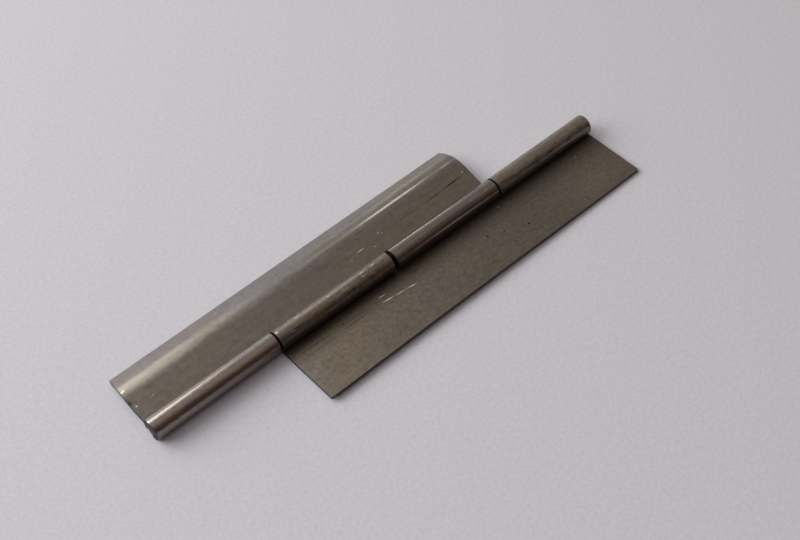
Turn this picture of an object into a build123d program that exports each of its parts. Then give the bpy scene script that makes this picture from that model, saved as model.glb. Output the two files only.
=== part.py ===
"""Side case hinge: two staggered sheet leaves with rolled knuckles on one pin.

The hinge lies open and flat. X runs along the pin, +Y points to the curved leaf, Z is up,
and Z = 0 is the surface that the knuckles and the flat leaf rest on. The origin is below
the middle of the barrel. Lengths are millimetres, angles are degrees.
"""

import os
from math import asin, cos, degrees, radians, sin, sqrt, tan

from build123d import *

# Sheet and pin
sheet_thickness = 0.9
pin_diameter = 4.0
pin_overhang = 0.1
pin_chamfer = 0.2

# Clearances
running_clearance = 0.05
seam_clearance = 0.15
notch_clearance = 0.15

# Knuckles and the gaps between them, from left to right
first_knuckle_length = 37.1
second_knuckle_length = 37.3
third_knuckle_length = 36.9
fourth_knuckle_length = 36.3
first_gap = 0.6
second_gap = 1.2
third_gap = 0.6
knuckle_edge_break = 0.15

# Leaves: a width is measured from the pin's axis to the free edge
flat_leaf_width = 21.1
flat_corner_radius = 0.5
curved_left_width = 19.6
curved_right_width = 21.1
curved_leaf_setback = 1.0
curved_end_bow = 0.8
curved_corner_radius = 0.4
curved_edge_lift = 0.1

# Crown of the curved leaf, lower on the left than on the right
left_web_angle = 12.0
left_flange_angle = 26.5
left_crown_radius = 8.0
right_web_angle = 14.5
right_flange_angle = 32.0
right_crown_radius = 11.5

# Derived sizes
knuckle_lengths = (
    first_knuckle_length,
    second_knuckle_length,
    third_knuckle_length,
    fourth_knuckle_length,
)
knuckle_gaps = (first_gap, second_gap, third_gap)
bore_radius = pin_diameter / 2 + running_clearance
barrel_radius = bore_radius + sheet_thickness
axis_height = barrel_radius
barrel_length = sum(knuckle_lengths) + sum(knuckle_gaps)
curved_notch_reach = barrel_radius + notch_clearance
flat_notch_reach = sqrt(curved_notch_reach**2 - (axis_height - sheet_thickness) ** 2)
roll_end_drop = axis_height - sheet_thickness - seam_clearance
roll_sweep = 270 + degrees(asin(roll_end_drop / barrel_radius))
pin_axis = Axis((0, 0, axis_height), (1, 0, 0))

knuckle_starts = []
knuckle_ends = []
knuckle_edge = -barrel_length / 2
for length, gap in zip(knuckle_lengths, knuckle_gaps + (0.0,)):
    knuckle_starts.append(knuckle_edge)
    knuckle_ends.append(knuckle_edge + length)
    knuckle_edge += length + gap


def knuckle_wall(number):
    """Return the lengthwise section of a knuckle's wall at its bottom, with its outer edges broken."""
    start = knuckle_starts[number]
    end = knuckle_ends[number]
    with BuildSketch(Plane.XZ) as wall:
        with BuildLine():
            Polyline(
                (start, sheet_thickness),
                (end, sheet_thickness),
                (end, knuckle_edge_break),
                (end - knuckle_edge_break, 0),
                (start + knuckle_edge_break, 0),
                (start, knuckle_edge_break),
                close=True,
            )
        make_face()
    return wall.sketch


def crowned_section(x, width, web_angle, flange_angle, crown_radius):
    """Return the curved leaf's section at x: root arc, rising web, crown and falling flange."""
    web = radians(web_angle)
    flange = radians(flange_angle)
    crown_turn = web + flange
    under_crown = crown_radius - sheet_thickness
    run = width - sheet_thickness * sin(flange) - barrel_radius * sin(web)
    rise = curved_edge_lift - barrel_radius * (1 - cos(web))
    crown_reach = under_crown * tan(crown_turn / 2)
    web_length = (run * sin(flange) + rise * cos(flange)) / sin(crown_turn) - crown_reach
    flange_length = (run * sin(web) - rise * cos(web)) / sin(crown_turn) - crown_reach
    with BuildSketch(Plane.YZ.offset(x)) as section:
        with BuildLine():
            skins = []
            for depth in (0.0, sheet_thickness):
                root = JernArc((0, sheet_thickness - depth), (1, 0), bore_radius + depth, web_angle)
                rising = PolarLine(root @ 1, web_length, web_angle)
                crown = JernArc(rising @ 1, rising % 1, crown_radius - depth, -web_angle - flange_angle)
                falling = PolarLine(crown @ 1, flange_length, -flange_angle)
                skins.append((root @ 0, falling @ 1))
            Line(skins[0][0], skins[1][0])
            Line(skins[0][1], skins[1][1])
        make_face()
    return section.sketch


os.makedirs("parts", exist_ok=True)

# Curved leaf: crowned sheet that carries the first and third knuckles
with BuildPart() as curved_leaf:
    left_end = knuckle_starts[0] + curved_leaf_setback
    right_end = knuckle_ends[2]
    left_section = crowned_section(
        left_end - curved_end_bow, curved_left_width, left_web_angle, left_flange_angle, left_crown_radius
    )
    right_section = crowned_section(
        right_end, curved_right_width, right_web_angle, right_flange_angle, right_crown_radius
    )
    loft(sections=[left_section, right_section], ruled=True)
    with BuildSketch(Plane.XY) as curved_plan:
        with BuildLine():
            Polyline(
                (left_end, 0),
                (right_end, 0),
                (right_end, curved_right_width),
                (left_end, curved_left_width),
            )
            ThreePointArc(
                (left_end, curved_left_width),
                (left_end - curved_end_bow, curved_left_width / 2),
                (left_end, 0),
            )
        make_face()
        fillet(curved_plan.vertices().sort_by(Axis.Y)[-2:], curved_corner_radius)
        with Locations(((knuckle_ends[0] + knuckle_starts[2]) / 2, 0)):
            Rectangle(knuckle_starts[2] - knuckle_ends[0], 2 * curved_notch_reach, mode=Mode.SUBTRACT)
    extrude(amount=2 * axis_height, mode=Mode.INTERSECT)
    for number in (0, 2):
        revolve(knuckle_wall(number), axis=pin_axis, revolution_arc=-roll_sweep)
curved_leaf.part.label = "curved_leaf"
export_step(curved_leaf.part, "parts/curved_leaf.step")

# Flat leaf: plain sheet that carries the second and fourth knuckles
with BuildPart() as flat_leaf:
    with BuildSketch(Plane.XY) as flat_plan:
        with Locations((knuckle_starts[1], 0)):
            Rectangle(
                knuckle_ends[3] - knuckle_starts[1], flat_leaf_width, align=(Align.MIN, Align.MAX)
            )
        fillet(flat_plan.vertices().sort_by(Axis.Y)[:2], flat_corner_radius)
        with Locations(((knuckle_ends[1] + knuckle_starts[3]) / 2, 0)):
            Rectangle(knuckle_starts[3] - knuckle_ends[1], 2 * flat_notch_reach, mode=Mode.SUBTRACT)
    extrude(amount=sheet_thickness)
    for number in (1, 3):
        revolve(knuckle_wall(number), axis=pin_axis, revolution_arc=roll_sweep)
flat_leaf.part.label = "flat_leaf"
export_step(flat_leaf.part, "parts/flat_leaf.step")

# Hinge pin: plain rod through all four knuckles
with BuildPart() as hinge_pin:
    with BuildSketch(Plane.YZ.offset(knuckle_starts[0] - pin_overhang)):
        with Locations((0, axis_height)):
            Circle(pin_diameter / 2)
    extrude(amount=barrel_length + 2 * pin_overhang)
    chamfer(edges().filter_by(GeomType.CIRCLE), pin_chamfer)
hinge_pin.part.label = "hinge_pin"
export_step(hinge_pin.part, "parts/hinge_pin.step")
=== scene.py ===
"""Side case hinge, dressed: two rolled steel leaves on one pin, lying open on pale paper.

Sizes are millimetres in the hinge's own frame: X along the pin, +Y to the curved leaf, Z up.
Meshes are drawn in millimetres and turned to metres when a piece is finished.
"""

import logging
from dataclasses import dataclass
from enum import Enum
from math import asin, cos, pi, radians, sin, sqrt, tan

import bmesh
import bpy
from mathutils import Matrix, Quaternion, Vector, noise


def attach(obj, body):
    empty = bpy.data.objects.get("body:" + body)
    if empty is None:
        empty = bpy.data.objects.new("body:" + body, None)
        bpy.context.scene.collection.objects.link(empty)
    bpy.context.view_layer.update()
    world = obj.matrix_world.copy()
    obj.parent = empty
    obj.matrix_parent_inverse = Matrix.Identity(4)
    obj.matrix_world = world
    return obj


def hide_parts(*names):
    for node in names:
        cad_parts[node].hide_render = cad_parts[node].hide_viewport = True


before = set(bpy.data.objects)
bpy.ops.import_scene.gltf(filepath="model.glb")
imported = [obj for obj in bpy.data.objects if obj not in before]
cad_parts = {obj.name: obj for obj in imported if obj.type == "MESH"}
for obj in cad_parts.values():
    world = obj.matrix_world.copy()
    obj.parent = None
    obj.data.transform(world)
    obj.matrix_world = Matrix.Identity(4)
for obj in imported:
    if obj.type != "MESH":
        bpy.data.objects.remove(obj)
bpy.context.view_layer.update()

MM = 0.001
TINY = 1e-4
X_AXIS = (1.0, 0.0, 0.0)
Y_AXIS = (0.0, 1.0, 0.0)
Z_AXIS = (0.0, 0.0, 1.0)
ORIGIN = (0.0, 0.0, 0.0)
RIM_LAYER = "sheared_rim"
log = logging.getLogger("hinge")

Point = tuple[float, float, float]
Strand = list[bmesh.types.BMVert | bmesh.types.BMEdge]


def linear(hex_colour: str) -> tuple[float, float, float, float]:
    """Turn an sRGB hex colour into linear red, green, blue and alpha.

    Args:
        hex_colour: Colour such as "#8d867a".

    Returns:
        Linear colour with an alpha of 1.
    """
    channels = [int(hex_colour[place:place + 2], 16) / 255 for place in (1, 3, 5)]
    bent = [c / 12.92 if c <= 0.04045 else ((c + 0.055) / 1.055) ** 2.4 for c in channels]
    return (bent[0], bent[1], bent[2], 1.0)


def add_node(tree: bpy.types.NodeTree, kind: str, inputs: dict | None = None, **settings) -> bpy.types.Node:
    """Add a node with its settings, and link or set its inputs.

    Args:
        tree: Node tree that gets the node.
        kind: Blender's name of the node type.
        inputs: Input name or number to a socket, which is linked, or to a value, which is set.
        settings: Properties of the node.

    Returns:
        The new node.
    """
    node = tree.nodes.new(kind)
    for key, value in settings.items():
        setattr(node, key, value)
    for key, value in (inputs or {}).items():
        if isinstance(value, bpy.types.NodeSocket):
            tree.links.new(value, node.inputs[key])
        else:
            node.inputs[key].default_value = value
    return node


class MarkKind(Enum):
    """What a mark on the sheet does to the eye."""

    # Bright marks: fresh scratches, and also painted highlights and painted reflections
    BRIGHT = "fresh scratch that catches light"
    # Dark marks: tool lines, pits and stains, and also painted shade
    DARK = "tool line, pit or dirt that holds none"


@dataclass(frozen=True)
class Mark:
    """One mark on a leaf: its middle, its size and its turn from the pin's direction in degrees."""

    kind: MarkKind
    x: float
    y: float
    z: float
    length: float
    width: float
    turn: float = 0.0
    strength: float = 1.0


@dataclass(frozen=True)
class Finish:
    """A procedural material, worked out from places on the piece in millimetres."""

    name: str

    def begin(self) -> tuple[bpy.types.Material, bpy.types.NodeTree, bpy.types.NodeSocket]:
        """Start an empty node material.

        Returns:
            The material, its node tree, and the place on the piece in millimetres.
        """
        material = bpy.data.materials.new(self.name)
        material.use_nodes = True
        tree = material.node_tree
        tree.nodes.clear()
        coords = add_node(tree, "ShaderNodeTexCoord")
        place = add_node(tree, "ShaderNodeVectorMath", {0: coords.outputs["Object"], "Scale": 1 / MM},
                         operation="SCALE").outputs[0]
        return material, tree, place

    def material(self) -> bpy.types.Material:
        """Build the node material."""
        raise NotImplementedError


@dataclass(frozen=True)
class SheetSteel(Finish):
    """Cold-rolled steel sheet, uncoated and handled.

    A satin grey with a warm cast: fine mottling from the rolls, faint lines along the pin from
    forming, burnished where the knuckles were curled, blotchy stains on the knuckles, painted shade
    under the knuckles and in the crease, and marks of which some are painted highlights, painted
    reflections and painted shade.
    Lengths are millimetres, and heights are measured from the pin's axis.
    """

    base: str
    warm: str
    cool: str
    # The dark colour below also paints shade; the pale one paints highlights and reflections as well as
    # fresh metal
    stain_and_shade: str
    bare_and_highlight: str
    rim: str
    grain: float
    streak_share: float
    sheet_roughness: float
    knuckle_roughness: float
    knuckle_stain: float
    crease_side: float
    crease_width: float
    knuckle_lift: float
    middle_lift: float
    # Painted shade under the knuckles: how deep it is at the ends and in the middle
    under_shade: float
    middle_under_shade: float
    marks: tuple[Mark, ...]
    axis_height: float = 2.95
    barrel_radius: float = 2.95
    # Real mottling and forming lines are finer; these are drawn coarse enough to show
    streak_length: float = 9.0
    streak_width: float = 0.6
    mottle: float = 1.0
    mottle_detail: float = 3.0
    mottle_sharpness: float = 0.7
    cloud: float = 17.0
    fine_range: tuple[float, float] = (0.3, 0.7)
    cloud_range: tuple[float, float] = (0.35, 0.65)
    cloud_share: float = 0.5
    # Where the knuckles' finish begins outside the barrel, and where the two middle knuckles end
    knuckle_fade: tuple[float, float] = (0.4, 0.05)
    middle_end: tuple[float, float] = (37.5, 38.5)
    # Blotchy stains 3 mm long below the top of a knuckle; painted shade under it and in the crease
    patch_scale: Point = (0.33, 1.5, 1.5)
    patch_range: tuple[float, float] = (0.52, 0.66)
    patch_heights: tuple[float, float] = (2.92, 2.3)
    under_shade_reach: tuple[float, float] = (66.0, 36.0)
    under_shade_heights: tuple[float, float] = (2.0, 1.1)
    crease_root: float = 2.6
    crease_shade: float = 0.71
    crease_heights: tuple[float, float] = (-1.0, -2.0)
    # Rims, marks and relief
    rim_share: float = 0.9
    mark_depth: float = 0.7
    mark_gain: float = 2.2
    uneven: float = 0.03
    marked_roughness: float = 0.55
    relief: float = 0.006
    relief_strength: float = 0.12

    def mark_mask(self, tree: bpy.types.NodeTree, place: bpy.types.NodeSocket,
                  kind: MarkKind) -> bpy.types.NodeSocket:
        """Add a soft spindle for each mark of a kind.

        Args:
            tree: Material's node tree.
            place: Place on the piece in millimetres.
            kind: Kind of mark that the mask is for.

        Returns:
            Socket that is 1 in the middle of a mark and 0 away from all of them.
        """
        total = add_node(tree, "ShaderNodeValue").outputs[0]
        total.default_value = 0.0
        for mark in self.marks:
            if mark.kind is not kind:
                continue
            spot = add_node(tree, "ShaderNodeMapping", {
                "Vector": place,
                "Location": (mark.x, mark.y, mark.z),
                "Rotation": (0.0, 0.0, radians(mark.turn)),
                "Scale": (mark.length / 2, mark.width / 2, self.mark_depth),
            }, vector_type="TEXTURE")
            spindle = add_node(tree, "ShaderNodeTexGradient", {0: spot.outputs[0]},
                               gradient_type="SPHERICAL")
            scaled = add_node(tree, "ShaderNodeMath", {
                0: spindle.outputs["Fac"], 1: self.mark_gain * mark.strength,
            }, operation="MULTIPLY", use_clamp=True)
            total = add_node(tree, "ShaderNodeMath", {0: total, 1: scaled.outputs[0]},
                             operation="MAXIMUM").outputs[0]
        return total

    def dirt_and_shade_mask(self, tree: bpy.types.NodeTree, place: bpy.types.NodeSocket,
                  height: bpy.types.NodeSocket, knuckle: bpy.types.NodeSocket,
                  off_middle: bpy.types.NodeSocket) -> bpy.types.NodeSocket:
        """Add oil and dirt: patches and soot on the knuckles, a band in the crease, dark marks.

        Args:
            tree: Material's node tree.
            place: Place on the piece in millimetres.
            height: Height above the pin's axis.
            knuckle: Socket that is 1 on the knuckles.
            off_middle: Distance from the middle of the barrel along the pin.

        Returns:
            Socket that says how much the stains and the painted shade darken the steel.
        """
        patch = add_node(tree, "ShaderNodeMapping", {"Vector": place, "Scale": self.patch_scale})
        patches = add_node(tree, "ShaderNodeTexNoise", {
            "Vector": patch.outputs[0], "Scale": 1.0, "Detail": 5.0, "Roughness": 0.7,
        }).outputs["Fac"]
        patch_mask = add_node(tree, "ShaderNodeMapRange", {
            "Value": patches, "From Min": self.patch_range[0], "From Max": self.patch_range[1],
            "To Max": self.knuckle_stain,
        }, interpolation_type="SMOOTHSTEP").outputs[0]
        below_top = add_node(tree, "ShaderNodeMapRange", {
            "Value": height, "From Min": self.patch_heights[0], "From Max": self.patch_heights[1],
        }, interpolation_type="SMOOTHSTEP").outputs[0]
        stained_and_shaded = add_node(tree, "ShaderNodeMath", {0: patch_mask, 1: below_top},
                           operation="MULTIPLY").outputs[0]
        # Painted shade on the lower side of each knuckle, deeper towards the middle of the barrel
        under_shade_level = add_node(tree, "ShaderNodeMapRange", {
            "Value": off_middle, "From Min": self.under_shade_reach[0], "From Max": self.under_shade_reach[1],
            "To Min": self.under_shade, "To Max": self.middle_under_shade,
        }).outputs[0]
        under = add_node(tree, "ShaderNodeMapRange", {
            "Value": height, "From Min": self.under_shade_heights[0], "From Max": self.under_shade_heights[1],
            "To Max": under_shade_level,
        }, interpolation_type="SMOOTHSTEP").outputs[0]
        stained_and_shaded = add_node(tree, "ShaderNodeMath", {0: stained_and_shaded, 1: under},
                           operation="MAXIMUM").outputs[0]
        stained_and_shaded = add_node(tree, "ShaderNodeMath", {0: stained_and_shaded, 1: knuckle},
                           operation="MULTIPLY").outputs[0]
        # Painted shade in a band along the crease beside the barrel
        parts = add_node(tree, "ShaderNodeSeparateXYZ", {0: place})
        across = add_node(tree, "ShaderNodeMath", {0: parts.outputs["Y"], 1: self.crease_side},
                          operation="MULTIPLY").outputs[0]
        crease = add_node(tree, "ShaderNodeMapRange", {
            "Value": across, "From Min": self.crease_width, "From Max": self.crease_root,
            "To Max": self.crease_shade,
        }).outputs[0]
        sunk = add_node(tree, "ShaderNodeMapRange", {
            "Value": height, "From Min": self.crease_heights[0], "From Max": self.crease_heights[1],
        }, interpolation_type="SMOOTHSTEP").outputs[0]
        crease = add_node(tree, "ShaderNodeMath", {0: crease, 1: sunk}, operation="MULTIPLY").outputs[0]
        dirt_and_shade = add_node(tree, "ShaderNodeMath", {0: crease, 1: stained_and_shaded}, operation="MAXIMUM").outputs[0]
        dark = self.mark_mask(tree, place, MarkKind.DARK)
        return add_node(tree, "ShaderNodeMath", {0: dirt_and_shade, 1: dark}, operation="MAXIMUM").outputs[0]

    def fine_pattern(self, tree: bpy.types.NodeTree,
                     place: bpy.types.NodeSocket) -> bpy.types.NodeSocket:
        """Mix the mottling of the rolled surface with lines along the pin from the tools.

        Args:
            tree: Material's node tree.
            place: Place on the piece in millimetres.

        Returns:
            Socket that wavers about 0.5.
        """
        along = add_node(tree, "ShaderNodeMapping", {
            "Vector": place,
            "Scale": (1 / self.streak_length, 1 / self.streak_width, 1 / self.streak_width),
        })
        streaks = add_node(tree, "ShaderNodeTexNoise", {
            "Vector": along.outputs[0], "Scale": 1.0, "Detail": 1.0, "Roughness": 0.5,
        }).outputs["Fac"]
        mottle = add_node(tree, "ShaderNodeTexNoise", {
            "Vector": place, "Scale": 1 / self.mottle, "Detail": self.mottle_detail,
            "Roughness": self.mottle_sharpness,
        }).outputs["Fac"]
        return add_node(tree, "ShaderNodeMix", {0: self.streak_share, 2: mottle, 3: streaks}).outputs[0]

    def material(self) -> bpy.types.Material:
        """Build the node material.

        Returns:
            The material, ready to be put on a piece.
        """
        material, tree, place = self.begin()
        parts = add_node(tree, "ShaderNodeSeparateXYZ", {0: place})
        off_middle = add_node(tree, "ShaderNodeMath", {0: parts.outputs["X"]},
                              operation="ABSOLUTE").outputs[0]
        height = add_node(tree, "ShaderNodeMath", {0: parts.outputs["Z"], 1: self.axis_height},
                          operation="SUBTRACT").outputs[0]
        round_pin = add_node(tree, "ShaderNodeCombineXYZ", {"Y": parts.outputs["Y"], "Z": height})
        reach = add_node(tree, "ShaderNodeVectorMath", {0: round_pin.outputs[0]},
                         operation="LENGTH").outputs["Value"]
        knuckle = add_node(tree, "ShaderNodeMapRange", {
            "Value": reach,
            "From Min": self.barrel_radius + self.knuckle_fade[0],
            "From Max": self.barrel_radius + self.knuckle_fade[1],
        }, interpolation_type="SMOOTHSTEP").outputs[0]

        # Slow clouds of handling, warm and cool
        cloud = add_node(tree, "ShaderNodeTexNoise", {
            "Vector": place, "Scale": 1 / self.cloud, "Detail": 4.0, "Roughness": 0.6, "Distortion": 0.6,
        }).outputs["Fac"]
        cloud_mix = add_node(tree, "ShaderNodeMapRange", {
            "Value": cloud, "From Min": self.cloud_range[0], "From Max": self.cloud_range[1],
        }).outputs[0]
        tint = add_node(tree, "ShaderNodeMix", {
            0: cloud_mix, 6: linear(self.warm), 7: linear(self.cool),
        }, data_type="RGBA").outputs[2]
        tinted = add_node(tree, "ShaderNodeMix", {0: self.cloud_share, 6: linear(self.base), 7: tint},
                          data_type="RGBA").outputs[2]

        # Fine light and dark, and paler burnished knuckles
        fine = self.fine_pattern(tree, place)
        value = add_node(tree, "ShaderNodeMapRange", {
            "Value": fine, "From Min": self.fine_range[0], "From Max": self.fine_range[1],
            "To Min": 1 - self.grain, "To Max": 1 + self.grain,
        }).outputs[0]
        lift = add_node(tree, "ShaderNodeMapRange", {
            "Value": off_middle, "From Min": self.middle_end[0], "From Max": self.middle_end[1],
            "To Min": self.middle_lift, "To Max": self.knuckle_lift,
        }).outputs[0]
        lift = add_node(tree, "ShaderNodeMix", {0: knuckle, 2: 1.0, 3: lift}).outputs[0]
        value = add_node(tree, "ShaderNodeMath", {0: value, 1: lift}, operation="MULTIPLY").outputs[0]
        shaded = add_node(tree, "ShaderNodeVectorMath", {0: tinted, "Scale": value},
                          operation="SCALE").outputs[0]
        # Stains and painted shade pull the colour towards the dark colour
        dirt_and_shade = self.dirt_and_shade_mask(tree, place, height, knuckle, off_middle)
        soiled_and_shaded = add_node(tree, "ShaderNodeMix", {0: dirt_and_shade, 6: shaded, 7: linear(self.stain_and_shade)},
                          data_type="RGBA").outputs[2]

        # Sheared rims are darker; bright marks are fresh metal where it was knocked, and painted highlights
        # and painted reflections
        rim = add_node(tree, "ShaderNodeAttribute", attribute_name=RIM_LAYER).outputs["Fac"]
        rim_dark = add_node(tree, "ShaderNodeMath", {0: rim, 1: self.rim_share},
                            operation="MULTIPLY").outputs[0]
        rimmed = add_node(tree, "ShaderNodeMix", {0: rim_dark, 6: soiled_and_shaded, 7: linear(self.rim)},
                          data_type="RGBA").outputs[2]
        bright = self.mark_mask(tree, place, MarkKind.BRIGHT)
        colour = add_node(tree, "ShaderNodeMix", {0: bright, 6: rimmed, 7: linear(self.bare_and_highlight)},
                          data_type="RGBA").outputs[2]

        # Burnished knuckles are smoother than the sheet; stains, painted shade, scratches and painted
        # highlights are rougher
        smooth = add_node(tree, "ShaderNodeMix", {
            0: knuckle, 2: self.sheet_roughness, 3: self.knuckle_roughness,
        }).outputs[0]
        uneven = add_node(tree, "ShaderNodeMapRange", {
            "Value": fine, "From Min": self.fine_range[0], "From Max": self.fine_range[1],
            "To Min": -self.uneven, "To Max": self.uneven,
        }).outputs[0]
        rough = add_node(tree, "ShaderNodeMath", {0: smooth, 1: uneven}, operation="ADD").outputs[0]
        roughened = add_node(tree, "ShaderNodeMath", {0: dirt_and_shade, 1: bright}, operation="MAXIMUM").outputs[0]
        roughened = add_node(tree, "ShaderNodeMath", {0: roughened, 1: rim}, operation="MAXIMUM").outputs[0]
        roughness = add_node(tree, "ShaderNodeMix", {0: roughened, 2: rough, 3: self.marked_roughness}).outputs[0]

        bump = add_node(tree, "ShaderNodeBump", {
            "Strength": self.relief_strength, "Distance": self.relief * MM, "Height": fine,
        })
        shader = add_node(tree, "ShaderNodeBsdfPrincipled", {
            "Base Color": colour, "Metallic": 1.0, "Roughness": roughness, "Normal": bump.outputs[0],
        })
        add_node(tree, "ShaderNodeOutputMaterial", {"Surface": shader.outputs[0]})
        return material


@dataclass(frozen=True)
class PinSteel(Finish):
    """Drawn steel rod, dark with old oil: brown-black, with faint drawing lines along it."""

    name: str = "Oiled drawn steel rod"
    base: str = "#46291b"
    oil: str = "#1b0e08"
    line_length: float = 10.0
    line_width: float = 0.25
    film_range: tuple[float, float] = (0.35, 0.65)
    line_range: tuple[float, float] = (0.3, 0.7)
    roughness: tuple[float, float] = (0.3, 0.5)
    relief: float = 0.01
    relief_strength: float = 0.4

    def material(self) -> bpy.types.Material:
        """Build the node material.

        Returns:
            The material, ready to be put on the pin.
        """
        material, tree, place = self.begin()
        along = add_node(tree, "ShaderNodeMapping", {
            "Vector": place,
            "Scale": (1 / self.line_length, 1 / self.line_width, 1 / self.line_width),
        })
        lines = add_node(tree, "ShaderNodeTexNoise", {
            "Vector": along.outputs[0], "Scale": 1.0, "Detail": 3.0,
        }).outputs["Fac"]
        film = add_node(tree, "ShaderNodeMapRange", {
            "Value": lines, "From Min": self.film_range[0], "From Max": self.film_range[1],
        }).outputs[0]
        colour = add_node(tree, "ShaderNodeMix", {0: film, 6: linear(self.base), 7: linear(self.oil)},
                          data_type="RGBA").outputs[2]
        roughness = add_node(tree, "ShaderNodeMapRange", {
            "Value": lines, "From Min": self.line_range[0], "From Max": self.line_range[1],
            "To Min": self.roughness[0], "To Max": self.roughness[1],
        }).outputs[0]
        bump = add_node(tree, "ShaderNodeBump", {
            "Strength": self.relief_strength, "Distance": self.relief * MM, "Height": lines,
        })
        shader = add_node(tree, "ShaderNodeBsdfPrincipled", {
            "Base Color": colour, "Metallic": 1.0, "Roughness": roughness, "Normal": bump.outputs[0],
        })
        add_node(tree, "ShaderNodeOutputMaterial", {"Surface": shader.outputs[0]})
        return material


@dataclass(frozen=True)
class PalePaper(Finish):
    """Plain pale drawing paper: matt, cool white with a faint tooth, drawn coarse enough to show."""

    name: str = "Pale drawing paper"
    light: str = "#d5d4d8"
    dark: str = "#cccbcf"
    tooth: float = 1.0
    tooth_range: tuple[float, float] = (0.35, 0.65)
    roughness: float = 0.9
    sheen: float = 0.1
    relief: float = 0.02
    relief_strength: float = 0.2

    def material(self) -> bpy.types.Material:
        """Build the node material.

        Returns:
            The material, ready to be put on the floor.
        """
        material, tree, place = self.begin()
        grain = add_node(tree, "ShaderNodeTexNoise", {
            "Vector": place, "Scale": 1 / self.tooth, "Detail": 4.0, "Roughness": 0.6,
        }).outputs["Fac"]
        spread = add_node(tree, "ShaderNodeMapRange", {
            "Value": grain, "From Min": self.tooth_range[0], "From Max": self.tooth_range[1],
        }).outputs[0]
        colour = add_node(tree, "ShaderNodeMix", {0: spread, 6: linear(self.dark), 7: linear(self.light)},
                          data_type="RGBA").outputs[2]
        bump = add_node(tree, "ShaderNodeBump", {
            "Strength": self.relief_strength, "Distance": self.relief * MM, "Height": grain,
        })
        shader = add_node(tree, "ShaderNodeBsdfPrincipled", {
            "Base Color": colour, "Roughness": self.roughness, "Specular IOR Level": self.sheen,
            "Normal": bump.outputs[0],
        })
        add_node(tree, "ShaderNodeOutputMaterial", {"Surface": shader.outputs[0]})
        return material


@dataclass(frozen=True)
class HingeSizes:
    """Driving sizes that the leaves and the pin share."""

    sheet: float = 0.9
    pin: float = 4.0
    pin_overhang: float = 0.1
    pin_chamfer: float = 0.2
    running_clearance: float = 0.05
    seam_clearance: float = 0.15
    notch_clearance: float = 0.15
    knuckles: tuple[float, ...] = (37.1, 37.3, 36.9, 36.3)
    gaps: tuple[float, ...] = (0.6, 1.2, 0.6)

    @property
    def bore(self) -> float:
        """Radius inside a knuckle."""
        return self.pin / 2 + self.running_clearance

    @property
    def barrel(self) -> float:
        """Radius outside a knuckle, which is also the height of the pin's axis."""
        return self.bore + self.sheet

    @property
    def curved_notch(self) -> float:
        """Distance from the pin's axis to the bottom of the curved leaf's notch."""
        return self.barrel + self.notch_clearance

    @property
    def flat_notch(self) -> float:
        """Distance from the pin's axis to the bottom of the flat leaf's notch."""
        return sqrt(self.curved_notch ** 2 - self.bore ** 2)

    @property
    def roll_sweep(self) -> float:
        """Angle that a knuckle is curled through, in radians."""
        return 1.5 * pi + asin((self.barrel - self.sheet - self.seam_clearance) / self.barrel)

    @property
    def barrel_length(self) -> float:
        """Length over all knuckles."""
        return sum(self.knuckles) + sum(self.gaps)

    def span(self, number: int) -> tuple[float, float]:
        """Find where a knuckle starts and ends.

        Args:
            number: Knuckle's number from the left, from 0.

        Returns:
            X at its left and right ends.
        """
        start = sum(self.knuckles[:number]) + sum(self.gaps[:number]) - self.barrel_length / 2
        return start, start + self.knuckles[number]


def sweep(bm: bmesh.types.BMesh, geom: Strand, steps: int, move: Point = ORIGIN, angle: float = 0.0,
          centre: Point = ORIGIN) -> Strand:
    """Pull vertices or edges along a straight move, or round an axis along X.

    Args:
        bm: Mesh being drawn.
        geom: Vertices and edges that are pulled.
        steps: Number of equal steps.
        move: Whole straight move.
        angle: Whole turn in radians.
        centre: Point on the axis of the turn.

    Returns:
        The geometry at the far end.
    """
    step = Vector(move) / steps
    turned = bmesh.ops.spin(bm, geom=geom, cent=centre, axis=X_AXIS, dvec=step, angle=angle,
                            steps=steps, use_merge=False, use_duplicate=False)
    return turned["geom_last"]


@dataclass
class Piece:
    """One piece of the hinge: its finish, the CAD node it stands in for and the body it rides on."""

    sizes: HingeSizes
    finish: Finish
    node: str
    body: str
    slot: str
    piece_name: str

    def make_object(self, bm: bmesh.types.BMesh) -> bpy.types.Object:
        """Turn a drawing to metres and put it in the scene with its finish.

        Args:
            bm: Finished drawing in millimetres, which is freed.

        Returns:
            The new object.
        """
        bmesh.ops.recalc_face_normals(bm, faces=bm.faces[:])
        bmesh.ops.scale(bm, vec=(MM, MM, MM), verts=bm.verts[:])
        mesh = bpy.data.meshes.new(self.piece_name)
        bm.to_mesh(mesh)
        bm.free()
        mesh.shade_smooth()
        mesh.materials.append(self.finish.material())
        piece = bpy.data.objects.new(self.piece_name, mesh)
        bpy.context.scene.collection.objects.link(piece)
        return piece

    def attach(self, piece: bpy.types.Object) -> None:
        """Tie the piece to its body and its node.

        Args:
            piece: Finished piece.
        """
        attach(piece, self.body)
        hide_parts(self.node)
        log.info("%s: %d faces drawn", self.piece_name, len(piece.data.polygons))


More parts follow.
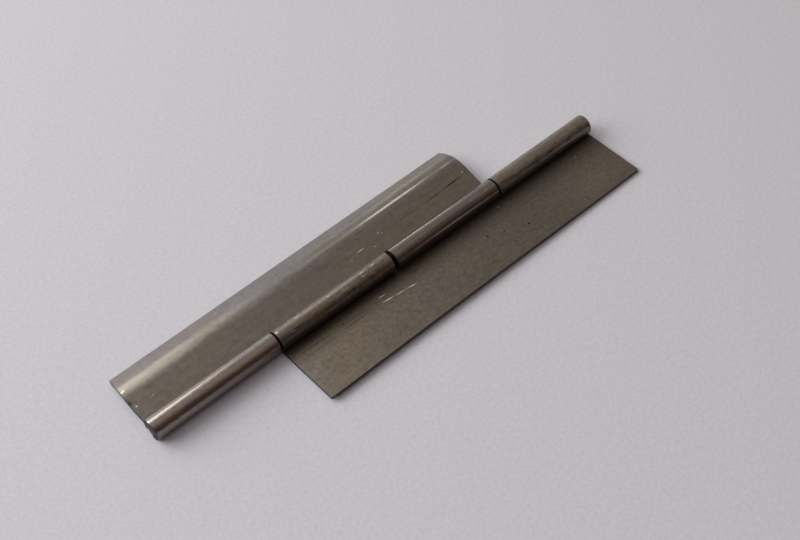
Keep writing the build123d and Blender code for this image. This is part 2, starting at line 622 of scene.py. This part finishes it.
@dataclass
class SheetLeaf(Piece):
    """A leaf cut from sheet, with two knuckles curled from its root edge."""

    knuckle_numbers: tuple[int, int]
    roll_turn: float
    corner: float
    notch_reach: float
    grid: float = 1.5
    snap_share: float = 0.45
    roll_steps: int = 48
    corner_steps: int = 4
    corner_clear: float = 1.0
    rim_band: float = 0.22
    edge_round: float = 0.1
    edge_steps: int = 2
    edge_angle: float = 50.0
    unevenness: float = 0.035
    wave: float = 13.0

    def draw_sheet(self, bm: bmesh.types.BMesh) -> None:
        """Draw the middle surface of the sheet from its root at Y = 0 to its free edge."""
        raise NotImplementedError

    def cut_notch(self, bm: bmesh.types.BMesh, side: float) -> None:
        """Cut room for the other leaf's knuckle out of the root.

        Args:
            bm: Mesh being drawn.
            side: +1 for a leaf on the +Y side, -1 for one on the -Y side.
        """
        first, second = self.knuckle_numbers
        start = self.sizes.span(first)[1]
        end = self.sizes.span(second)[0]
        reach = side * self.notch_reach
        for vert in bm.verts:
            for cut in (start, end):
                if abs(vert.co.x - cut) < self.snap_share * self.grid:
                    vert.co.x = cut
        cuts = (
            ((start, 0.0, 0.0), X_AXIS),
            ((end, 0.0, 0.0), X_AXIS),
            ((0.0, reach, 0.0), Y_AXIS),
        )
        for point, normal in cuts:
            bmesh.ops.bisect_plane(bm, geom=bm.verts[:] + bm.edges[:] + bm.faces[:], dist=TINY,
                                   plane_co=point, plane_no=normal)
        doomed = []
        for face in bm.faces:
            middle = face.calc_center_median()
            if start < middle.x < end and side * middle.y < self.notch_reach:
                doomed.append(face)
        bmesh.ops.delete(bm, geom=doomed, context="FACES")

    def curl_knuckles(self, bm: bmesh.types.BMesh) -> None:
        """Curl the root edge round the pin at each knuckle.

        Args:
            bm: Mesh being drawn.
        """
        pin_centre = (0.0, 0.0, self.sizes.barrel)
        turn = self.roll_turn * self.sizes.roll_sweep
        for number in self.knuckle_numbers:
            start, end = self.sizes.span(number)
            root = []
            for vert in bm.verts:
                at_root = abs(vert.co.y) < TINY and vert.co.z < self.sizes.sheet
                if at_root and start - TINY < vert.co.x < end + TINY:
                    root.append(vert)
            first = min(root, key=lambda vert: vert.co.x)
            missing = first.co.x - start
            if missing > TINY:
                tail = sweep(bm, [first], 1, move=(-missing, 0.0, 0.0))
                root += [item for item in tail if isinstance(item, bmesh.types.BMVert)]
            chosen = set(root)
            edges = [edge for edge in bm.edges if edge.verts[0] in chosen and edge.verts[1] in chosen]
            sweep(bm, root + edges, self.roll_steps, angle=turn, centre=pin_centre)

    def round_corners(self, bm: bmesh.types.BMesh, side: float) -> None:
        """Round the two corners at the free edge.

        Args:
            bm: Mesh being drawn.
            side: +1 for a leaf on the +Y side, -1 for one on the -Y side.
        """
        beyond = self.notch_reach + self.corner_clear
        corners = [vert for vert in bm.verts if len(vert.link_faces) == 1 and side * vert.co.y > beyond]
        bmesh.ops.bevel(bm, geom=corners, offset=self.corner, offset_type="OFFSET", affect="VERTICES",
                        segments=self.corner_steps, profile=0.5, material=-1)

    def mark_rim(self, bm: bmesh.types.BMesh) -> None:
        """Add a narrow band along every cut edge and mark the edge for the finish.

        Args:
            bm: Mesh being drawn.
        """
        bmesh.ops.inset_region(bm, faces=bm.faces[:], use_boundary=True, use_even_offset=True,
                               thickness=self.rim_band)
        layer = bm.verts.layers.float.new(RIM_LAYER)
        for edge in bm.edges:
            if edge.is_boundary:
                for vert in edge.verts:
                    vert[layer] = 1.0

    def unsettle(self, bm: bmesh.types.BMesh) -> None:
        """Give the sheet beyond the knuckles the slight unevenness of hand-folded metal.

        Args:
            bm: Mesh being drawn.
        """
        for vert in bm.verts:
            away = min(max((abs(vert.co.y) - self.notch_reach) / self.notch_reach, 0.0), 1.0)
            spot = Vector((vert.co.x / (2 * self.wave), vert.co.y / self.wave, self.corner))
            vert.co.z += self.unevenness * away * noise.noise(spot)

    def build(self) -> bpy.types.Object:
        """Draw the leaf, give it its thickness and dress it.

        Returns:
            The finished piece.
        """
        side = -self.roll_turn
        bm = bmesh.new()
        self.draw_sheet(bm)
        self.cut_notch(bm, side)
        self.round_corners(bm, side)
        self.curl_knuckles(bm)
        bmesh.ops.remove_doubles(bm, verts=bm.verts[:], dist=TINY)
        self.mark_rim(bm)
        self.unsettle(bm)
        piece = self.make_object(bm)
        wall = piece.modifiers.new("sheet thickness", "SOLIDIFY")
        wall.thickness = self.sizes.sheet * MM
        wall.offset = 0.0
        wall.use_even_offset = True
        edges = piece.modifiers.new("sheared edges", "BEVEL")
        edges.width = self.edge_round * MM
        edges.segments = self.edge_steps
        edges.limit_method = "ANGLE"
        edges.angle_limit = radians(self.edge_angle)
        edges.harden_normals = True
        self.attach(piece)
        return piece


@dataclass
class FlatLeaf(SheetLeaf):
    """The plain leaf, flat from its knuckles to its free edge."""

    width: float = 21.1
    corner_lift: float = 0.72
    level_end: float = 85.0
    twist_run: float = 90.0

    def draw_sheet(self, bm: bmesh.types.BMesh) -> None:
        """Draw the flat middle surface.

        Args:
            bm: Mesh being drawn.
        """
        left = self.sizes.span(self.knuckle_numbers[0])[0]
        right = self.sizes.span(self.knuckle_numbers[1])[1]
        start = bm.verts.new((left, 0.0, self.sizes.sheet / 2))
        sweep(bm, [start], round(self.width / self.grid), move=(0.0, -self.width, 0.0))
        chain = bm.verts[:] + bm.edges[:]
        sweep(bm, chain, round((right - left) / self.grid), move=(right - left, 0.0, 0.0))

    def unsettle(self, bm: bmesh.types.BMesh) -> None:
        """Add a slight twist to the unevenness: the left part of the free edge stands off the floor.

        Args:
            bm: Mesh being drawn.
        """
        super().unsettle(bm)
        for vert in bm.verts:
            away = max((-vert.co.y - self.notch_reach) / (self.width - self.notch_reach), 0.0)
            along = min(max((self.level_end - vert.co.x) / self.twist_run, 0.0), 1.0)
            vert.co.z += self.corner_lift * away * along * along * (3 - 2 * along)


@dataclass
class CurvedLeaf(SheetLeaf):
    """The crowned leaf: a web that rises from the knuckles, a crown and a falling flange."""

    left_width: float = 19.6
    right_width: float = 21.1
    setback: float = 1.0
    end_bow: float = 0.8
    edge_lift: float = 0.1
    left_web: float = 12.0
    left_flange: float = 26.5
    left_crown: float = 8.0
    right_web: float = 14.5
    right_flange: float = 32.0
    right_crown: float = 11.5
    root_steps: int = 6
    shelf_steps: int = 2
    web_steps: int = 6
    crown_steps: int = 24
    flange_steps: int = 4

    def draw_section(self, bm: bmesh.types.BMesh, x: float, width: float, web_angle: float,
                     flange_angle: float, crown: float) -> list[bmesh.types.BMEdge]:
        """Draw one end's section as a chain of edges.

        Args:
            bm: Mesh being drawn.
            x: Place along the pin.
            width: Distance from the pin's axis to the free edge.
            web_angle: Rise of the web in degrees.
            flange_angle: Fall of the flange in degrees.
            crown: Radius on top of the crown.

        Returns:
            The chain's edges.
        """
        sheet = self.sizes.sheet
        barrel = self.sizes.barrel
        web = radians(web_angle)
        flange = radians(flange_angle)
        run = width - sheet * sin(flange) - barrel * sin(web)
        rise = self.edge_lift - barrel * (1 - cos(web))
        crown_reach = (crown - sheet) * tan((web + flange) / 2)
        web_length = (run * sin(flange) + rise * cos(flange)) / sin(web + flange) - crown_reach
        flange_length = (run * sin(web) - rise * cos(web)) / sin(web + flange) - crown_reach
        known = set(bm.edges)
        tip = [bm.verts.new((x, 0.0, sheet / 2))]
        tip = sweep(bm, tip, self.root_steps, angle=web, centre=(0.0, 0.0, barrel))
        shelf = (self.notch_reach - tip[0].co.y) / cos(web)
        for length, steps in ((shelf, self.shelf_steps), (web_length - shelf, self.web_steps)):
            tip = sweep(bm, tip, steps, move=(0.0, length * cos(web), length * sin(web)))
        middle_crown = crown - sheet / 2
        top = tip[0].co
        crown_centre = (x, top.y + middle_crown * sin(web), top.z - middle_crown * cos(web))
        tip = sweep(bm, tip, self.crown_steps, angle=-(web + flange), centre=crown_centre)
        fall = (0.0, flange_length * cos(flange), -flange_length * sin(flange))
        sweep(bm, tip, self.flange_steps, move=fall)
        return [edge for edge in bm.edges if edge not in known]

    def draw_sheet(self, bm: bmesh.types.BMesh) -> None:
        """Draw the crowned middle surface, ruled between its two end sections.

        Args:
            bm: Mesh being drawn.
        """
        left = self.sizes.span(self.knuckle_numbers[0])[0] + self.setback - self.end_bow
        right = self.sizes.span(self.knuckle_numbers[1])[1]
        chain = self.draw_section(bm, left, self.left_width, self.left_web, self.left_flange,
                                  self.left_crown)
        chain += self.draw_section(bm, right, self.right_width, self.right_web, self.right_flange,
                                   self.right_crown)
        bmesh.ops.bridge_loops(bm, edges=chain)
        rulings = [edge for edge in bm.edges if abs(edge.verts[0].co.x - edge.verts[1].co.x) > TINY]
        cuts = round((right - left) / self.grid) - 1
        bmesh.ops.subdivide_edges(bm, edges=rulings, cuts=cuts, use_grid_fill=True)
        for vert in bm.verts:
            off_middle = 2 * vert.co.y / self.left_width - 1
            end = left + self.end_bow * off_middle ** 2
            vert.co.x = right - (right - vert.co.x) * (right - end) / (right - left)


@dataclass
class HingePin(Piece):
    """Plain rod with broken ends, through all four knuckles."""

    node: str = "hinge_pin"
    body: str = "flat_half"
    slot: str = "pin_steel"
    piece_name: str = "pin"
    round_steps: int = 64
    rod_steps: int = 100
    dome_steps: int = 6
    chamfer_steps: int = 3
    dome: float = 0.08
    sharp_angle: float = 30.0

    def build(self) -> bpy.types.Object:
        """Draw the rod by turning its half section, and dress it.

        Returns:
            The finished piece.
        """
        axis_height = self.sizes.barrel
        radius = self.sizes.pin / 2
        chamfer = self.sizes.pin_chamfer
        end = self.sizes.barrel_length / 2 + self.sizes.pin_overhang
        bm = bmesh.new()
        tip = [bm.verts.new((-end, 0.0, axis_height))]
        moves = (
            (self.dome, radius - chamfer, self.dome_steps),
            (chamfer - self.dome, chamfer, self.chamfer_steps),
            (2 * (end - chamfer), 0.0, self.rod_steps),
            (chamfer - self.dome, -chamfer, self.chamfer_steps),
            (self.dome, chamfer - radius, self.dome_steps),
        )
        for along, outward, steps in moves:
            tip = sweep(bm, tip, steps, move=(along, 0.0, outward))
        bmesh.ops.spin(bm, geom=bm.verts[:] + bm.edges[:], cent=(0.0, 0.0, axis_height), axis=X_AXIS,
                       angle=2 * pi, steps=self.round_steps, use_merge=True, use_duplicate=False)
        bmesh.ops.remove_doubles(bm, verts=bm.verts[:], dist=TINY)
        piece = self.make_object(bm)
        piece.data.set_sharp_from_angle(angle=radians(self.sharp_angle))
        self.attach(piece)
        return piece


@dataclass
class SoftBox:
    """A rectangular lamp aimed at the hinge.

    Its bearing is in degrees from +Y towards +X, and its distance and size are in metres.
    """

    name: str
    bearing: float
    elevation: float
    distance: float
    width: float
    height: float
    radiance: float
    colour: str
    roll: float = 0.0

    def build(self) -> bpy.types.Object:
        """Place the lamp.

        Returns:
            The lamp object.
        """
        lamp = bpy.data.lights.new(self.name, "AREA")
        lamp.shape = "RECTANGLE"
        lamp.size = self.width
        lamp.size_y = self.height
        lamp.energy = self.radiance * pi * self.width * self.height
        lamp.color = linear(self.colour)[:3]
        level = cos(radians(self.elevation))
        way = Vector((sin(radians(self.bearing)) * level, cos(radians(self.bearing)) * level,
                      sin(radians(self.elevation))))
        holder = bpy.data.objects.new(self.name, lamp)
        holder.location = way * self.distance
        leaning = Quaternion(Z_AXIS, radians(self.roll))
        holder.rotation_euler = (way.to_track_quat("Z", "Y") @ leaning).to_euler()
        bpy.context.scene.collection.objects.link(holder)
        return holder


@dataclass
class Studio:
    """Floor, room, lamps and camera.

    The room's stops run from the near side to the far side, and its level from left to right.
    """

    paper: PalePaper
    lamps: tuple[SoftBox, ...]
    floor_reach: float = 3.0
    room_stops: tuple[tuple[float, str], ...] = (
        (0.10, "#3f312c"),
        (0.18, "#4c3d37"),
        (0.28, "#75645c"),
        (0.40, "#7b716b"),
        (0.50, "#8e857c"),
        (0.70, "#7e766f"),
        (0.85, "#969293"),
        (0.92, "#a09d9f"),
        (0.97, "#aeabb2"),
        (1.00, "#d2cfd6"),
    )
    room_left: float = 1.68
    room_right: float = 0.68
    room_turn: tuple[float, float] = (0.05, 0.75)
    picture_width: int = 800
    focal_pixels: float = 1219.135
    bearing: float = -42.354
    elevation: float = 51.683
    target: Point = (2.067, -2.188, 0.0)
    distance: float = 319.437
    sensor: float = 36.0
    near_clip: float = 0.01

    def build_floor(self) -> bpy.types.Object:
        """Lay the paper floor.

        Returns:
            The floor object.
        """
        bm = bmesh.new()
        bmesh.ops.create_grid(bm, x_segments=2, y_segments=2, size=self.floor_reach)
        mesh = bpy.data.meshes.new("floor")
        bm.to_mesh(mesh)
        bm.free()
        floor = bpy.data.objects.new("floor", mesh)
        bpy.context.scene.collection.objects.link(floor)
        mesh.materials.append(self.paper.material())
        return floor

    def build_room(self) -> None:
        """Fill the world with a dim room, paler on the far side than on the near side."""
        world = bpy.data.worlds.new("room")
        bpy.context.scene.world = world
        world.use_nodes = True
        tree = world.node_tree
        tree.nodes.clear()
        way = add_node(tree, "ShaderNodeTexCoord")
        parts = add_node(tree, "ShaderNodeSeparateXYZ", {0: way.outputs["Generated"]})
        far = add_node(tree, "ShaderNodeMapRange", {
            "Value": parts.outputs["Y"], "From Min": -1.0, "From Max": 1.0,
        })
        ramp = add_node(tree, "ShaderNodeValToRGB", {0: far.outputs[0]})
        stops = ramp.color_ramp.elements
        while len(stops) < len(self.room_stops):
            stops.new(1.0)
        for stop, (place, colour) in zip(stops, self.room_stops):
            stop.position = place
            stop.color = linear(colour)
        level = add_node(tree, "ShaderNodeMapRange", {
            "Value": parts.outputs["X"], "From Min": self.room_turn[0], "From Max": self.room_turn[1],
            "To Min": self.room_left, "To Max": self.room_right,
        })
        shade = add_node(tree, "ShaderNodeBackground", {
            "Color": ramp.outputs[0], "Strength": level.outputs[0],
        })
        add_node(tree, "ShaderNodeOutputWorld", {"Surface": shade.outputs[0]})

    def build_camera(self) -> bpy.types.Object:
        """Stand the camera at the photograph's viewing angle.

        Returns:
            The camera object.
        """
        lens = bpy.data.cameras.new("camera")
        lens.sensor_fit = "HORIZONTAL"
        lens.sensor_width = self.sensor
        lens.lens = self.focal_pixels * self.sensor / self.picture_width
        lens.clip_start = self.near_clip
        level = cos(radians(self.elevation))
        way = Vector((sin(radians(self.bearing)) * level, -cos(radians(self.bearing)) * level,
                      sin(radians(self.elevation))))
        camera = bpy.data.objects.new("camera", lens)
        camera.location = (Vector(self.target) + way * self.distance) * MM
        camera.rotation_euler = way.to_track_quat("Z", "Y").to_euler()
        bpy.context.scene.collection.objects.link(camera)
        bpy.context.scene.camera = camera
        return camera

    def build(self) -> None:
        """Set up everything round the hinge."""
        self.build_floor()
        self.build_room()
        for lamp in self.lamps:
            lamp.build()
        self.build_camera()
        bpy.context.scene.view_settings.view_transform = "Standard"
        log.info("studio: floor, room, %d lamps and camera", len(self.lamps))


BRIGHT = MarkKind.BRIGHT
DARK = MarkKind.DARK

# Each mark: kind, x, y, z, length, width, turn and strength
CURVED_MARKS = (
    # Scratches and specks on the web
    Mark(BRIGHT, -2.7, 8.0, 2.77, 3.2, 0.35, 0.0, 0.8),
    Mark(BRIGHT, 1.2, 6.7, 2.47, 0.7, 0.4, 0.0, 0.6),
    Mark(BRIGHT, -6.5, 7.0, 2.52, 0.7, 0.4, 0.0, 0.5),
    Mark(BRIGHT, 4.5, 9.2, 3.08, 1.3, 0.35, 0.0, 0.5),
    Mark(BRIGHT, 5.4, 8.5, 2.92, 0.9, 0.35, 0.0, 0.45),
    Mark(BRIGHT, 36.2, 9.8, 3.36, 0.9, 0.7, 0.0, 0.5),
    Mark(BRIGHT, -69.1, 7.9, 2.55, 2.8, 0.25, 15.0, 0.3),
    Mark(DARK, 31.5, 8.9, 3.1, 10.0, 0.6, 1.0, 0.6),
    Mark(DARK, 25.0, 8.7, 3.0, 9.0, 0.5, 0.0, 0.45),
    Mark(DARK, 14.0, 8.6, 2.97, 20.0, 0.4, 0.0, 0.2),
    # Painted highlight along the ridge of the crown
    Mark(BRIGHT, 14.0, 14.37, 3.67, 34.0, 0.85, 0.9, 0.85),
    Mark(BRIGHT, 14.0, 14.4, 3.67, 80.0, 1.7, 0.8, 0.16),
    Mark(BRIGHT, 34.0, 14.67, 3.8, 9.0, 1.3, 0.9, 0.25),
    # Painted highlight that widens the crown's highlight at the left
    Mark(BRIGHT, -64.0, 12.2, 3.3, 32.0, 3.2, 1.0, 0.1),
    # Nicks on the left edge, and painted shade along the edge between them
    Mark(BRIGHT, -74.2, 13.0, 3.38, 0.8, 0.9, 0.0, 1.0),
    Mark(BRIGHT, -73.7, 13.2, 3.37, 0.9, 0.7, 0.0, 0.9),
    Mark(BRIGHT, -73.6, 8.0, 2.55, 0.6, 0.6, 0.0, 0.8),
    # Painted shade along the left edge
    Mark(DARK, -74.4, 9.6, 2.85, 1.2, 3.4, 0.0, 0.45),
    # Painted highlight on the rim of the first knuckle
    Mark(BRIGHT, -74.8, 0.61, 5.84, 0.7, 0.9, 0.0, 0.8),
    # Third knuckle: painted highlight high, painted reflection of the floor low, specks, and painted shade
    # in bands between and behind
    # Painted shade in a band behind the high line
    Mark(DARK, 27.0, 1.6, 5.42, 38.0, 1.3, 0.0, 0.24),
    # Painted highlight along the top of the knuckle
    Mark(BRIGHT, 11.5, 1.2, 5.64, 15.0, 0.3, -1.4, 0.6),
    Mark(BRIGHT, 20.0, 0.98, 5.73, 26.0, 0.28, -1.4, 0.25),
    # Painted reflection of the pale floor beyond the flat leaf, low down
    Mark(BRIGHT, 22.0, -2.47, 4.56, 42.0, 0.4, -0.3, 0.33),
    Mark(BRIGHT, 34.8, -0.76, 5.8, 1.6, 0.35, 0.0, 0.5),
    Mark(BRIGHT, 28.9, -0.71, 5.81, 1.4, 0.35, 0.0, 0.35),
    # Painted shade in a band between the two lines
    Mark(DARK, 19.6, -1.25, 5.62, 44.0, 1.4, 0.0, 0.22),
)

FLAT_MARKS = (
    # Broken scratch and its companion
    Mark(BRIGHT, -7.2, -7.9, 1.1, 4.4, 0.4, -6.5, 0.8),
    Mark(BRIGHT, -3.4, -8.35, 1.1, 4.2, 0.35, -6.5, 0.6),
    Mark(BRIGHT, 0.3, -8.75, 1.1, 3.6, 0.4, -6.5, 0.7),
    Mark(BRIGHT, -7.7, -6.0, 1.0, 3.0, 0.35, -4.0, 0.7),
    # Tool lines
    Mark(DARK, -29.7, -6.07, 1.0, 22.0, 0.4, -2.2, 0.5),
    Mark(DARK, -16.7, -6.55, 1.0, 20.0, 0.4, -2.2, 0.42),
    Mark(DARK, -30.0, -7.74, 1.1, 20.0, 0.4, 0.8, 0.42),
    Mark(DARK, -17.0, -7.57, 1.1, 22.0, 0.4, 0.8, 0.42),
    Mark(DARK, 4.8, -5.6, 1.0, 8.0, 0.4, 3.6, 0.45),
    # Smudges
    Mark(DARK, 25.4, -5.4, 0.95, 5.0, 0.5, -8.5, 0.3),
    Mark(DARK, 11.2, -5.9, 0.95, 4.0, 0.5, -13.0, 0.3),
    Mark(DARK, 18.2, -7.6, 1.0, 2.6, 0.35, -63.0, 0.25),
    # Pits
    Mark(DARK, 14.9, -3.3, 0.9, 0.9, 0.7, 0.0, 0.8),
    Mark(DARK, 26.5, -10.2, 1.1, 0.8, 0.7, 0.0, 1.0),
    Mark(DARK, 37.9, -14.4, 1.1, 0.9, 0.8, 0.0, 1.0),
    Mark(DARK, 30.9, -11.9, 1.1, 0.6, 0.5, 0.0, 0.8),
    Mark(DARK, 36.9, -16.9, 1.1, 0.6, 0.5, 0.0, 0.7),
    Mark(DARK, -20.7, -5.9, 1.0, 0.8, 0.6, 0.0, 0.9),
    # Pale rubbed spots, and a broad painted lightening over the right part of the leaf
    Mark(BRIGHT, 65.4, -5.9, 0.9, 1.6, 0.9, 20.0, 0.1),
    Mark(BRIGHT, 67.7, -7.6, 0.9, 1.4, 0.9, 20.0, 0.08),
    Mark(BRIGHT, 36.0, -4.5, 0.95, 1.2, 0.8, 20.0, 0.16),
    # Painted light: the right part of the leaf made lighter
    Mark(BRIGHT, 64.0, -16.0, 0.9, 44.0, 18.0, 0.0, 0.055),
    # Painted shade in the bend at the second knuckle
    Mark(DARK, -17.0, -6.6, 0.95, 34.0, 3.4, 0.0, 0.11),
    # Painted shade in bands on the far sides of the knuckles
    Mark(DARK, -16.0, 1.3, 5.6, 36.0, 0.9, 0.0, 0.17),
    Mark(DARK, 57.0, 1.5, 5.48, 46.0, 1.3, 0.0, 0.1),
    # Second knuckle: painted highlight in a band along the top, its scratches, and stains below it
    # Painted highlight along the top of the second knuckle
    Mark(BRIGHT, -18.6, 0.41, 5.87, 46.0, 1.7, 0.0, 0.1),
    Mark(BRIGHT, -36.7, 0.3, 5.88, 1.0, 0.9, 0.0, 0.6),
    Mark(BRIGHT, -30.1, 0.7, 5.81, 3.0, 0.3, 0.0, 0.4),
    Mark(BRIGHT, -20.2, 0.3, 5.88, 1.4, 0.45, 0.0, 0.5),
    Mark(BRIGHT, -9.0, 0.4, 5.87, 2.0, 0.4, 0.0, 0.6),
    Mark(BRIGHT, -5.2, 0.55, 5.85, 1.8, 0.4, 0.0, 0.6),
    Mark(BRIGHT, -15.7, -0.86, 5.77, 3.8, 0.25, 0.0, 0.4),
    Mark(BRIGHT, -9.1, -0.71, 5.81, 2.6, 0.25, 0.0, 0.4),
    Mark(BRIGHT, -33.1, -1.75, 5.33, 2.4, 0.25, 0.0, 0.4),
    Mark(DARK, -31.8, -1.6, 5.4, 7.0, 0.7, 0.0, 0.4),
    Mark(DARK, -21.1, -2.05, 5.07, 4.0, 0.6, 0.0, 0.4),
    Mark(DARK, -13.5, -1.86, 5.24, 4.0, 0.5, 0.0, 0.4),
    Mark(DARK, -7.4, -2.12, 5.0, 4.0, 0.5, 0.0, 0.35),
    Mark(DARK, -10.1, -1.01, 5.72, 1.4, 0.4, 0.0, 0.35),
    # Fourth knuckle: stains, scratches and a painted reflection of the floor low down
    Mark(DARK, 40.6, -0.21, 5.89, 1.0, 0.5, 0.0, 0.4),
    Mark(DARK, 40.5, -1.47, 5.5, 1.2, 0.5, 0.0, 0.4),
    Mark(DARK, 43.6, -1.82, 5.27, 1.6, 0.5, 0.0, 0.35),
    Mark(DARK, 51.8, -2.15, 4.97, 7.0, 0.6, 0.0, 0.35),
    Mark(DARK, 58.7, -2.12, 5.0, 5.0, 0.6, 0.0, 0.4),
    Mark(DARK, 61.4, -1.2, 5.64, 3.0, 0.6, 0.0, 0.25),
    Mark(BRIGHT, 45.1, -1.38, 5.55, 1.8, 0.3, 0.0, 0.3),
    Mark(BRIGHT, 55.4, -0.91, 5.76, 1.4, 0.3, 0.0, 0.25),
    Mark(BRIGHT, 65.5, -0.71, 5.81, 3.6, 0.3, 0.0, 0.25),
    # Painted reflection of the pale floor, low down
    Mark(BRIGHT, 64.0, -2.65, 4.2, 16.0, 0.4, -1.6, 0.12),
)


def main() -> None:
    """Build the hinge's pieces in order and set up the studio."""
    logging.basicConfig(level=logging.INFO, format="%(name)s: %(message)s")
    sizes = HingeSizes()
    CurvedLeaf(
        sizes=sizes,
        finish=SheetSteel(
            name="Cold-rolled steel sheet, burnished",
            # The dark colour also paints shade, and the pale colour also paints highlights and reflections
            base="#9a958d", warm="#9d9486", cool="#969195", stain_and_shade="#43271f", bare_and_highlight="#f0e7d2", rim="#35272e",
            grain=0.13, streak_share=0.45, mottle=1.3, mottle_detail=1.0, mottle_sharpness=0.5,
            sheet_roughness=0.3, knuckle_roughness=0.2, knuckle_lift=1.35, middle_lift=1.2,
            # The values for under the knuckles and along the crease set painted shade
            knuckle_stain=0.6, under_shade=0.45, middle_under_shade=0.75, crease_side=1.0, crease_width=4.4,
            marks=CURVED_MARKS,
        ),
        node="curved_leaf", body="curved_half", slot="curved_leaf_steel", piece_name="curved_leaf_sheet",
        knuckle_numbers=(0, 2), roll_turn=-1.0, corner=0.4, notch_reach=sizes.curved_notch,
    ).build()
    FlatLeaf(
        sizes=sizes,
        finish=SheetSteel(
            name="Cold-rolled steel sheet, dull",
            # The dark colour also paints shade, and the pale colour also paints highlights and reflections
            base="#8c8579", warm="#8f8574", cool="#8a8583", stain_and_shade="#3b231c", bare_and_highlight="#eee4d2", rim="#4c4145",
            grain=0.24, streak_share=0.12,
            sheet_roughness=0.39, knuckle_roughness=0.36, knuckle_lift=1.52, middle_lift=1.1,
            # The values for under the knuckles and along the crease set painted shade
            knuckle_stain=0.8, under_shade=0.5, middle_under_shade=0.62, crease_side=-1.0, crease_width=10.0,
            marks=FLAT_MARKS,
        ),
        node="flat_leaf", body="flat_half", slot="flat_leaf_steel", piece_name="flat_leaf_sheet",
        knuckle_numbers=(1, 3), roll_turn=1.0, corner=0.5, notch_reach=sizes.flat_notch,
    ).build()
    HingePin(sizes=sizes, finish=PinSteel()).build()
    Studio(
        paper=PalePaper(),
        lamps=(
            SoftBox("window", bearing=-45.0, elevation=29.0, distance=1.4, width=1.4, height=0.85,
                    radiance=5.35, colour="#f7f8fb"),
            SoftBox("pane", bearing=-3.0, elevation=44.0, distance=0.9, width=0.33, height=0.62,
                    radiance=2.15, colour="#fffaf0", roll=-15.0),
            SoftBox("sky", bearing=-90.0, elevation=63.0, distance=0.6, width=0.56, height=0.4,
                    radiance=0.6, colour="#c4dcff"),
            SoftBox("glint", bearing=27.5, elevation=11.0, distance=1.2, width=0.07, height=0.07,
                    radiance=5.0, colour="#fff6e4"),
        ),
    ).build()


if __name__ == "__main__":
    main()
